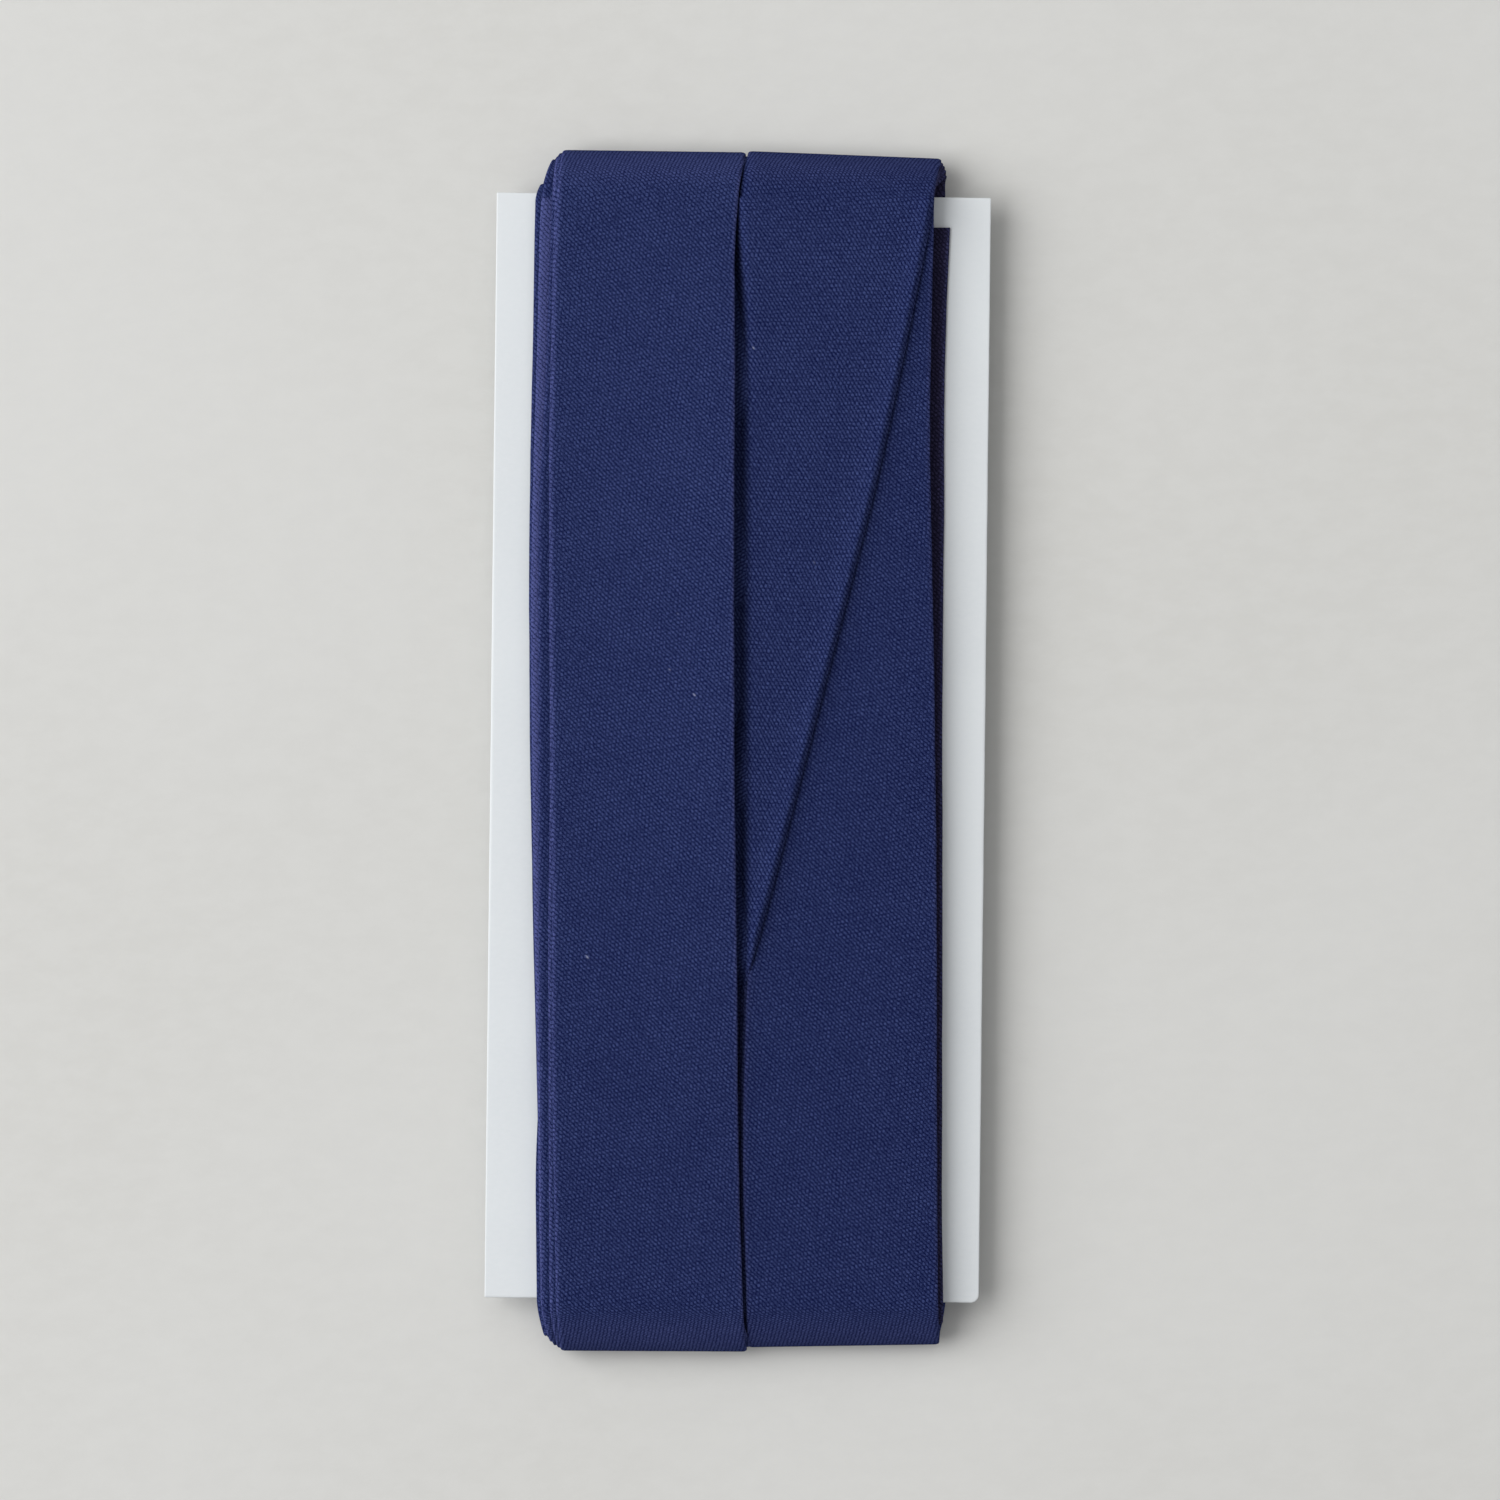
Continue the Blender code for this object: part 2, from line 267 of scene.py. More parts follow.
def card_outline():
    """Points round the card, anticlockwise: straight sides and small quarter-circle corners, the
    bottom right one drawn in by the knock, all turned about the middle."""
    half_w = CARD_WIDTH / 2
    half_l = CARD_LENGTH / 2
    corners = ((half_w, -half_l, -90.0), (half_w, half_l, 0.0), (-half_w, half_l, 90.0),
               (-half_w, -half_l, 180.0))
    points = []
    for place, (x, y, start) in enumerate(corners):
        radius = CARD_KNOCK if place == 0 else CARD_CORNER
        angle = np.radians(start + np.linspace(0, 90, 9))
        centre = (x - math.copysign(radius, x), y - math.copysign(radius, y))
        arc = np.column_stack([centre[0] + radius * np.cos(angle), centre[1] + radius * np.sin(angle)])
        points.append(arc)
        following = corners[(place + 1) % 4]
        share = np.linspace(0, 1, CARD_STEPS // 4)[1:-1, None]
        next_radius = CARD_KNOCK if place == 3 else CARD_CORNER
        next_centre = np.array([following[0] - math.copysign(next_radius, following[0]),
                                following[1] - math.copysign(next_radius, following[1])])
        begin = math.radians(following[2])
        target = next_centre + next_radius * np.array([math.cos(begin), math.sin(begin)])
        points.append(arc[-1] + (target - arc[-1]) * share)
    outline = np.concatenate(points)
    cosine, sine = math.cos(CARD_TURN), math.sin(CARD_TURN)
    turn = np.array([[cosine, -sine], [sine, cosine]])
    return outline @ turn.T + np.array(CARD_CENTRE)


def grid_faces(rows, columns, closed=False):
    """The four-sided faces of a rows by columns grid; closed joins the last column to the first."""
    last = columns if closed else columns - 1
    row, column = np.meshgrid(np.arange(rows - 1), np.arange(last), indexing="ij")
    after = (column + 1) % columns
    corners = (row * columns + column, row * columns + after,
               (row + 1) * columns + after, (row + 1) * columns + column)
    return np.stack([corner.ravel() for corner in corners], axis=1).tolist()


def make_card(material):
    """The board: its outline carried through an edge profile, from the middle of the back, round
    the cut edge, to the middle of the front. The edge wavers by a few hundredths."""
    outline = card_outline()
    middle = outline.mean(axis=0)
    inward = middle - outline
    inward /= np.linalg.norm(inward, axis=1)[:, None]
    along = np.arange(len(outline)) * 2.0
    waver = wander(along, 5, 23.0, 0.018)[:, None] + wander(along, 6, 5.0, 0.012)[:, None]
    profile = ((4.0, card_back), (1.0, card_back), (0.09, card_back), (0.02, card_back + 0.05),
               (0.0, card_back + 0.2), (0.012, card_front - 0.16), (-CARD_BURR / 2, card_front - 0.05),
               (0.06, card_front - 0.004), (0.3, card_front), (1.2, card_front), (4.0, card_front))
    rings = []
    for inset, height in profile:
        ring = outline + inward * (inset + waver)
        rings.append(np.column_stack([ring, np.full(len(ring), height)]))
    count = len(outline)
    points = np.concatenate(rings)
    faces = grid_faces(len(rings), count, closed=True)
    faces += [tuple(range(count))[::-1], tuple(range((len(rings) - 1) * count, len(rings) * count))]
    return add_piece("card_board", points, faces, material)


BOARD_DARK = (0.775, 0.812, 0.838, 1.0)
BOARD_LIGHT = (0.80, 0.838, 0.862, 1.0)
BOARD_GRAIN = (0.84, 0.87, 0.89, 1.0)
board_material, board_shader = new_material("white_board", 0.62, 0.4)
board_tree = board_material.node_tree
board_place = add_node(board_tree, "ShaderNodeTexCoord").outputs["Object"]
board_paper = use_group(board_tree, paper_fibre, Vector=board_place, Scale=2600.0)
board_fine = span(board_tree, board_paper.outputs["Fine"], 0.3, 0.7)
board_cloud = span(board_tree, board_paper.outputs["Cloud"], 0.3, 0.7)
board_tone = blend_colour(board_tree, board_cloud, BOARD_DARK, BOARD_LIGHT)
board_grain = calc(board_tree, "MULTIPLY", board_fine, 0.3)
board_rough = calc(board_tree, "MULTIPLY_ADD", board_fine, 0.12, 0.56)
board_relief = bump(board_tree, board_paper.outputs["Fine"], 0.00003, 0.6)
wire(board_tree, blend_colour(board_tree, board_grain, board_tone, BOARD_GRAIN),
     board_shader.inputs["Base Color"])
wire(board_tree, board_rough, board_shader.inputs["Roughness"])
wire(board_tree, board_relief, board_shader.inputs["Normal"])
card_board = make_card(board_material)
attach(card_board, "root")
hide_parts("card")


# The tape: one strip of navy plain-weave cotton cut on the bias, 39 mm wide, both raw edges
# pressed to the middle of the inside. It starts on the card at the right, is wound five times
# there, crosses the front to the left column, and is wound five times over its own slant.
STRIP = 39.0
CLOTH = 0.18
FLAP_DEPTH = 0.30
LAYER = 3.25 / 6
RIGHT_BACK_LAYER = 3.25 / 5
LOOP_START = 57.6
INNER_END_Y = 54.80
OUTER_END_Y = 38.0
START_WIDTH = 19.8
WRAP_STEP = 0.28
RIGHT_WRAP_STEP = 0.2
RIDGE_POWER = 1.8
RAMP_WIDTH = 1.7
JUMP_SHARE = 0.8
TUCK = 0.6

# Edges of the runs on the front, from top to bottom: the right edges of the starting end and of
# the right column's last wrap, the left edges of the five wraps of the left column, the right
# edge of its last, how high that edge is lifted by the slant under it, the left edge of the
# right column, and where the crossing run has climbed to its full height.
FRONT_COLUMNS = ("y", "start_r", "right_r", "left_1", "left_2", "left_3", "left_4", "left_5",
                 "left_5_r", "ridge", "right_l", "ramp")
FRONT_TABLE = np.array((
    (61.6, 22.40, 20.66, -21.10, -20.30, -19.25, -18.98, -18.75, 0.70, 0.00, 0.48, 0.50),
    (57.6, 22.40, 20.62, -21.20, -20.60, -19.40, -19.10, -18.85, 0.04, 0.00, 0.48, 0.50),
    (54.7, 22.35, 20.57, -21.25, -20.80, -19.60, -19.30, -19.08, -0.30, 0.10, 0.50, 0.60),
    (47.1, 21.90, 20.36, -21.40, -20.92, -19.80, -19.45, -19.30, -0.28, 0.60, 1.60, 1.50),
    (36.6, 21.70, 20.15, -21.60, -21.15, -20.25, -19.68, -19.55, -0.25, 1.10, 1.80, 1.80),
    (26.2, 21.70, 20.25, -21.80, -21.55, -20.85, -19.78, -19.68, -0.31, 1.35, 1.80, 1.80),
    (15.7, 21.55, 20.45, -21.90, -21.68, -20.90, -19.74, -19.62, -0.34, 1.40, 1.80, 1.80),
    (5.2, 21.50, 20.65, -21.80, -21.60, -20.90, -19.65, -19.50, -0.33, 1.40, 1.80, 1.80),
    (-5.2, 21.50, 20.80, -21.70, -21.50, -20.90, -19.68, -19.45, -0.25, 1.30, 1.80, 1.80),
    (-15.7, 21.50, 20.85, -21.50, -21.35, -20.88, -19.80, -19.42, -0.13, 0.95, 1.50, 1.70),
    (-24.6, 21.50, 20.88, -21.30, -21.20, -20.83, -19.85, -19.42, -0.03, 0.60, 0.93, 1.60),
    (-36.6, 21.48, 20.92, -21.00, -20.95, -20.68, -19.80, -19.42, 0.07, 0.20, 0.53, 1.60),
    (-47.1, 21.40, 20.92, -20.85, -20.80, -20.60, -19.76, -19.22, 0.19, 0.10, 0.57, 1.60),
    (-57.6, 21.60, 21.02, -20.70, -20.62, -20.50, -19.72, -18.98, 0.60, 0.00, 0.90, 1.60)))

# The right folded edge of the crossing run, from the top down, half its width, how much wider
# that is at the top and from where, the length over which it turns from level to its slant, and
# how far it stands off the column near its right fold: rising from STAND_FROM of its half width
# and rolled back down from ROLL_FROM.
CROSS_EDGE = np.array(((61.5, 21.15), (57.6, 20.57), (54.7, 20.12), (50.3, 19.30), (47.1, 18.60),
                       (36.6, 16.50), (26.2, 14.19), (15.7, 11.50), (5.2, 8.80), (-5.2, 6.12),
                       (-15.7, 3.40), (-22.0, 1.65), (-24.6, 0.85), (-29.0, -0.20), (-35.0, -1.00),
                       (-44.0, -1.45), (-57.6, -1.30)))
CROSS_HALF = 9.88
CROSS_FLARE = 0.20
SPREAD_FROM = 40
SPREAD_RISE = 14
FAN_LENGTH = 16.0
CROSS_STAND = 0.42
STAND_FROM = 0.82
STAND_RISE = 0.13
ROLL_FROM = 0.95
ROLL_WIDTH = 0.05
ROLL_SHARE = 0.8

# One row for each turn: where it lies (0 right column, 1 crossing, 2 left column), its place in
# the stack on the front and on the back, how far its bottom loop and the top loop after it
# reach, the left and right ends of the tips of those two loops, how much further each reaches
# at its right end than at its left, how much further the top loop's left corner alone reaches,
# the left edge of its back run, and the steps along its front and its back.
TURN_COLUMNS = ("lies", "front_level", "back_level", "bottom_reach", "top_reach", "bottom_l",
                "bottom_r", "top_l", "top_r", "bottom_tilt", "top_tilt", "top_flare", "back_l",
                "front_steps", "back_steps")
TURNS = (
    (0, 1, 1, 60.20, 60.30, 0.3, 21.6, 0.1, 21.98, 0.0, 0.0, 0.0, 1.85, 30, 12),
    (0, 2, 2, 60.80, 60.90, 0.5, 21.3, 0.3, 21.90, 0.0, 0.0, 0.0, 2.05, 12, 12),
    (0, 3, 3, 61.40, 61.42, 0.7, 21.2, 0.5, 21.78, 0.0, -0.2, 0.0, 2.15, 12, 12),
    (0, 4, 4, 61.95, 61.95, 0.9, 21.1, 0.7, 21.62, 0.0, -0.6, 0.0, 1.95, 16, 12),
    (0, 5, 5, 62.50, 62.42, 1.1, 21.2, 1.08, 21.40, -0.3, -0.8, 0.0, 1.80, 76, 34),
    (1, 6, 1, 60.80, 59.35, -20.3, -1.4, -20.75, -1.6, 0.0, 0.0, 0.0, -20.6, 96, 12),
    (2, 2, 2, 61.20, 61.42, -20.0, -1.1, -19.45, -1.3, 0.0, 0.0, 0.62, -20.7, 36, 12),
    (2, 3, 3, 61.55, 61.92, -19.7, -0.9, -19.05, -0.6, 0.0, 0.0, 0.42, -20.65, 36, 12),
    (2, 4, 4, 61.95, 62.38, -19.3, -0.3, -18.75, 1.20, 0.0, -0.2, 0.18, -20.5, 36, 12),
    (2, 5, 5, 62.56, 62.80, -18.95, 1.45, -18.4, 0.90, 0.1, -0.25, 0.0, -20.4, 36, 12),
    (2, 6, 6, 63.05, 62.90, -18.6, 1.00, -18.4, 0.85, 0.10, 0.0, 0.0, -20.1, 96, 34))
BACK_WIDTH = 19.7

# The loops: how much further the bottom ones' left corners reach, by turn; how far in from the
# corner that is felt, and over what length along the tape it and the tilt come in; the steps
# along a loop, the power of its upper quarter, the height of its belly as a share, and how late
# its edges move over to the tip's.
BOTTOM_FLARE = {5: 0.75, 6: 0.50, 7: 0.62, 8: 0.60, 9: 0.25}
FLARE_WIDTH = 0.8
TILT_RISE = 3.0
LOOP_STEPS = 17
LOOP_POWER = 1.25
LOOP_BELLY = 0.32
LOOP_EDGE = 1.6

# How many more threads lie in a millimetre over the shoulder of a loop, from where at the top and
# at the bottom of the card, over what length it comes, and the height under which it is gone.
CROWDED = 1.15
CROWD_TOP = 59.3
CROWD_BOTTOM = 58.4
CROWD_RISE = 1.8
CROWD_LOW = 2.0

# Painted highlight on the crowns of the folded edges: how strong it is, by turn or else 1.0, and
# how far in, by turn or else a default; how far in from the edge the brightest line lies, and how
# much faster it fades below the edge. Then painted light on the cloth over the loops, which lightens
# the shade on their steep faces, at the top and at the bottom: from where on, and from which upward
# share of its outward direction.
CROWN_HIGHLIGHT = {5: 0.3, 6: 0.7, 7: 3.2, 8: 0.8, 9: 1.5, 10: 1.2}
HIGHLIGHT_REACH = {7: 1.40}
HIGHLIGHT_WIDTH = 0.22
CROWN_IN = 0.05
CROWN_BELOW = 3
TOP_LOOP_LIGHT = 0.62
BOTTOM_LOOP_LIGHT = 0.85
LOOP_LIGHT_FROM = 58.2
LOOP_LIGHT_RISE = 3.2
UPWARD_FROM = 0.10
UPWARD_RISE = 0.45

# Painted light on the cloth, more towards the top of the card: on the outermost turns, the crossing
# run and all the others; by which share it is less at the middle, and the length over which that
# changes.
OUTER_TURN_LIGHT = 1.0
CROSS_RUN_LIGHT = 0.55
UNDER_TURN_LIGHT = 0.1
LIGHT_DROP_SHARE = 0.38
LIGHT_FADE_LENGTH = 40


def column(name, y):
    """A column of the front table at heights y, averaged over a few millimetres each way so that
    the folded edges curve and don't kink."""
    values = FRONT_TABLE[:, FRONT_COLUMNS.index(name)]
    return sum(np.interp(-y - step, -FRONT_TABLE[:, 0], values) for step in (-4, -2, 0, 2, 4)) / 5


def cross_edge(y):
    """The crossing run's right edge at heights y, rounded in the same way."""
    return sum(np.interp(-y - step, -CROSS_EDGE[:, 0], CROSS_EDGE[:, 1])
               for step in np.linspace(-3, 3, 13)) / 13


def cross_half(y):
    """Half the width of the crossing run, which spreads a little towards the top of the card."""
    return CROSS_HALF + CROSS_FLARE * smooth((y - SPREAD_FROM) / SPREAD_RISE)


def cross_middle():
    """The middle line of the crossing run as height, x and slope angle: its right edge moved in
    by half the width, square to its slant."""
    edge_y = np.linspace(61.0, -64.0, 500)
    edge_x = cross_edge(edge_y)
    angle = np.arctan(np.gradient(edge_x, edge_y))
    half = cross_half(edge_y)
    return edge_y + half * np.sin(angle), edge_x - half * np.cos(angle), angle


def turn_row(number):
    """One turn's row, by name."""
    return dict(zip(TURN_COLUMNS, TURNS[number]))


def front_edges(number, y):
    """The left and right edges of a straight front run at heights y. Each lower wrap of a column
    lies a step further left than the one over it."""
    turn = turn_row(number)
    if turn["lies"] == 0:
        if number == 0:
            right = column("start_r", y)
            return right - START_WIDTH, right
        under = 4 - number
        right = column("right_r", y) - RIGHT_WRAP_STEP * under
        return column("right_l", y) - WRAP_STEP * under, right
    left = column(f"left_{number - 5}", y)
    return left, column("left_5_r", y) - WRAP_STEP * (10 - number)


def lifted(x, y):
    """How far the last wrap of the left column stands above its level: nothing at its left edge,
    rising as a power of the share of its width to the ridge at its right edge."""
    left = column("left_5", y)
    right = column("left_5_r", y)
    share = np.clip((x - left) / (right - left), 0.0, 1.0)
    return column("ridge", y) * share ** RIDGE_POWER


def smooth(share):
    """Goes from 0 to 1 with level ends."""
    share = np.clip(share, 0.0, 1.0)
    return share * share * (3 - 2 * share)


def crossing_drop(x, y, place):
    """The crossing run's height above the top level: level over the right column, standing up a
    little just short of its right fold (place 1), and from the ramp by the seam down to the card,
    under the five wraps that are lifted over it."""
    low = lifted(np.minimum(x, 0.0), y) - 5 * LAYER
    stand = CROSS_STAND * smooth((place - STAND_FROM) / STAND_RISE)
    stand = stand * (1 - ROLL_SHARE * smooth((place - ROLL_FROM) / ROLL_WIDTH))
    return stand + (low - stand) * (1 - smooth((x - column("ramp", y)) / RAMP_WIDTH + 1))


def loop_stations(begin, tip, finish, low, high, reach, toward):
    """A drooping loop over an end of the card, as left x, right x, y and z: from z low to z high
    and out to the reach, the edges curving from begin to the tip's and on to finish. Above the
    belly it is a quarter of a superellipse that falls steeply, below it a quarter ellipse."""
    share = (np.arange(LOOP_STEPS) + 1) / (LOOP_STEPS + 1)
    angle = math.pi * share
    above = (np.cos(angle) if low > high else -np.cos(angle)) > 1e-9
    power = np.where(above, LOOP_POWER, 1.0)
    top, bottom = max(low, high), min(low, high)
    belly = bottom + LOOP_BELLY * (top - bottom)
    rise = np.where(above, top - belly, bottom - belly) * np.abs(np.cos(angle)) ** power
    out = np.sin(angle) ** power
    edges = []
    for side in (0, 1):
        base = np.where(share < 0.5, begin[side], finish[side])
        edges.append(base + (tip[side] - base) * out ** LOOP_EDGE)
    y = toward * (LOOP_START + (reach - LOOP_START) * out)
    return edges[0], edges[1], y, belly + rise


def tape_path():
    """The stations all along the outer face of the tape, as columns: left x, right x, y, z, which
    turn, the part of the turn (0 front, 1 bottom, 2 back, 3 top), its loop's tilt and flare."""
    rows = []
    still = (0.0, 0.0)
    for number in range(len(TURNS)):
        turn = turn_row(number)
        last = number == len(TURNS) - 1
        crossing = turn["lies"] == 1
        back_layer = RIGHT_BACK_LAYER if turn["lies"] == 0 else LAYER
        front_z = card_front + turn["front_level"] * LAYER - CLOTH / 2
        back_z = card_back - turn["back_level"] * back_layer + CLOTH / 2
        begin_y = INNER_END_Y if number == 0 else LOOP_START
        y = np.linspace(begin_y, -LOOP_START, turn["front_steps"])
        if crossing:
            middle_y, middle_x, _ = cross_middle()
            middle = np.interp(-y, -middle_y, middle_x)
            left, right = middle - cross_half(y), middle + cross_half(y)
        else:
            left, right = front_edges(number, y)
        rows.append((left, right, y, np.full_like(y, front_z), number, 0) + still)
        back = (turn["back_l"], turn["back_l"] + BACK_WIDTH)
        bottom_tip = (turn["bottom_l"], turn["bottom_r"])
        low_z = card_front + LAYER - CLOTH / 2 if crossing else front_z
        rows.append(loop_stations((left[-1], right[-1]), bottom_tip, back, low_z, back_z,
                                  turn["bottom_reach"], -1)
                    + (number, 1, turn["bottom_tilt"], BOTTOM_FLARE.get(number, 0.0)))
        y_back = np.linspace(-LOOP_START, OUTER_END_Y if last else LOOP_START, turn["back_steps"])
        rows.append((np.full_like(y_back, back[0]), np.full_like(y_back, back[1]), y_back,
                     np.full_like(y_back, back_z), number, 2) + still)
        if last:
            break
        following = turn_row(number + 1)
        next_z = card_front + following["front_level"] * LAYER - CLOTH / 2
        if following["lies"] == 1:
            edge = float(cross_edge(np.array(LOOP_START)))
            finish = (edge - 2 * (CROSS_HALF + CROSS_FLARE) / math.cos(cross_start_angle()), edge)
        else:
            finish = [float(edge) for edge in front_edges(number + 1, np.array(LOOP_START))]
        top_tip = (turn["top_l"], turn["top_r"])
        rows.append(loop_stations(back, top_tip, finish, back_z, next_z, turn["top_reach"], 1)
                    + (number, 3, turn["top_tilt"], turn["top_flare"]))
    return [np.concatenate([np.broadcast_to(np.asarray(row[place], dtype=float), row[2].shape)
                            for row in rows]) for place in range(8)]


def cross_start_angle():
    """The slant of the crossing run where it starts at the top."""
    middle_y, _, angle = cross_middle()
    return float(np.interp(-LOOP_START, -middle_y, angle))


# The section across the tape: the points of its face, the outer two of them as shares of its half
# width, and how much closer they lie round the ramp; the points, width and depth of a folded
# edge; and the points of a flap and the gap between its raw edge and the middle.
FACE_POINTS = 26
NEAR_FOLD = (0.985, 0.955)
RAMP_DENSITY = 5
RAMP_REACH = 1.5
FOLD_POINTS = 7
FOLD_REACH = 0.42
FOLD_DROP = 0.17
FLAP_POINTS = 3
FLAP_GAP = 0.35


def face_places(rows, centre, half, where):
    """Where the face's columns lie across it, from -1 to 1: evenly, but on the rows in where
    drawn together round the ramp, by adding up a density with a bell on the ramp's middle."""
    edge = np.concatenate([[1.0], NEAR_FOLD])
    inner = NEAR_FOLD[-1] - 0.05
    count = FACE_POINTS - 2 * len(edge)
    places = np.tile(np.concatenate([-edge, np.linspace(-inner, inner, count), edge[::-1]]), (rows, 1))
    fine = np.linspace(-inner, inner, 301)
    for row in np.flatnonzero(where):
        density = 1 + RAMP_DENSITY * np.exp(-((fine * half[row] - centre[row]) / RAMP_REACH) ** 2)
        total = np.concatenate([[0.0], np.cumsum((density[1:] + density[:-1]) / 2)])
        places[row, len(edge):-len(edge)] = np.interp(np.linspace(0, total[-1], count), total, fine)
    return places


def fold_section(half, places):
    """The tape's section for each half width: across from the middle, depth under the outer face,
    and the place on the flat strip. From one raw edge: a flap, a fold, the face, the other fold
    and the other flap. A fold is a quarter ellipse, FOLD_REACH wide and FOLD_DROP deep, from the
    face down to the edge, and a tighter one from there back to the flap."""
    turn = np.linspace(-math.pi / 2, math.pi / 2, FOLD_POINTS + 2)[1:-1][None, :]
    lower = FLAP_DEPTH - FOLD_DROP
    wide = np.where(turn < 0, lower, FOLD_REACH)
    fold = half[:, None] - wide * (1 - np.cos(turn))
    fold_depth = FOLD_DROP - np.sin(turn) * np.where(turn < 0, lower, FOLD_DROP)
    fold_depth = np.broadcast_to(fold_depth, fold.shape)
    reach = half[:, None] - lower
    bend = math.pi * (FOLD_REACH + lower) / 4
    width = np.minimum(reach - FLAP_GAP, STRIP / 2 - half[:, None] + FOLD_REACH - bend)
    flap = reach - width * np.linspace(1, 0, FLAP_POINTS)[None, :]
    face = (half[:, None] - FOLD_REACH) * places
    under = np.full_like(flap, FLAP_DEPTH)
    across = np.concatenate([-flap, -fold, face, fold[:, ::-1], flap[:, ::-1]], axis=1)
    level = np.zeros_like(face)
    depth = np.concatenate([under, fold_depth, level, fold_depth[:, ::-1], under[:, ::-1]], axis=1)
    steps = np.hypot(np.diff(across, axis=1), np.diff(depth, axis=1))
    strip = np.concatenate([np.zeros((len(half), 1)), np.cumsum(steps, axis=1)], axis=1)
    return across, depth, strip - (strip[:, :1] + strip[:, -1:]) / 2


def stray(length, seed, pitch):
    """How far a folded edge strays along the strip: a slow wave of that pitch and a short one."""
    return wander(length, seed, pitch, 0.035) + wander(length, seed + 1, 6.0, 0.012)


def by_turn(turn, values, other):
    """A table's value for each station's turn, or other where the table has none."""
    return np.array([values.get(number, other) for number in turn])[:, None]


def painted_paleness(turn, part, y, out_z, depth, from_edge):
    """How much paler the cloth is painted: a painted highlight, a bell on the crown of each folded
    edge, or painted light on the cloth over the loops, which lightens the shade of their steep faces,
    whichever is more. The tops of the right column's lower wraps lie in the dark and have none."""
    # Painted light over the loops, offsetting the shade of their steep faces; it fades where they turn
    # to the side.
    drawn = np.where(y > 0, TOP_LOOP_LIGHT, BOTTOM_LOOP_LIGHT) * smooth((np.abs(y) - LOOP_LIGHT_FROM) / LOOP_LIGHT_RISE)
    drawn = drawn * (depth < CLOTH) * smooth((out_z - UPWARD_FROM) / UPWARD_RISE)
    drawn = drawn * ((turn >= 4) | (part != 3))[:, None]
    crown = np.abs(from_edge - CROWN_IN) + CROWN_BELOW * np.maximum(depth - FOLD_DROP, 0)
    bell = np.exp(-(crown / by_turn(turn, HIGHLIGHT_REACH, HIGHLIGHT_WIDTH)) ** 2)
    return np.maximum(by_turn(turn, CROWN_HIGHLIGHT, 1.0) * bell, drawn)


def painted_light_and_shade(turn, part, y):
    """How much light is painted on the cloth at each station, more towards the top of the card. It
    is -1, painted shade that turns it near black, on the first turn and on the tops of the right
    column's lower wraps, which lie in shadow."""
    lightness = np.where(turn >= 9, OUTER_TURN_LIGHT, np.where(turn == 5, CROSS_RUN_LIGHT, UNDER_TURN_LIGHT))
    lightness = lightness * (1 - LIGHT_DROP_SHARE + LIGHT_DROP_SHARE * np.tanh(y / LIGHT_FADE_LENGTH))
    return np.where((turn == 0) | ((turn <= 3) & (part == 3)), -1.0, lightness)


def add_value(piece, name, values):
    """One number for each of a piece's points, which its material reads by name."""
    attribute = piece.data.attributes.new(name, "FLOAT", "POINT")
    attribute.data.foreach_set("value", np.asarray(values).ravel())


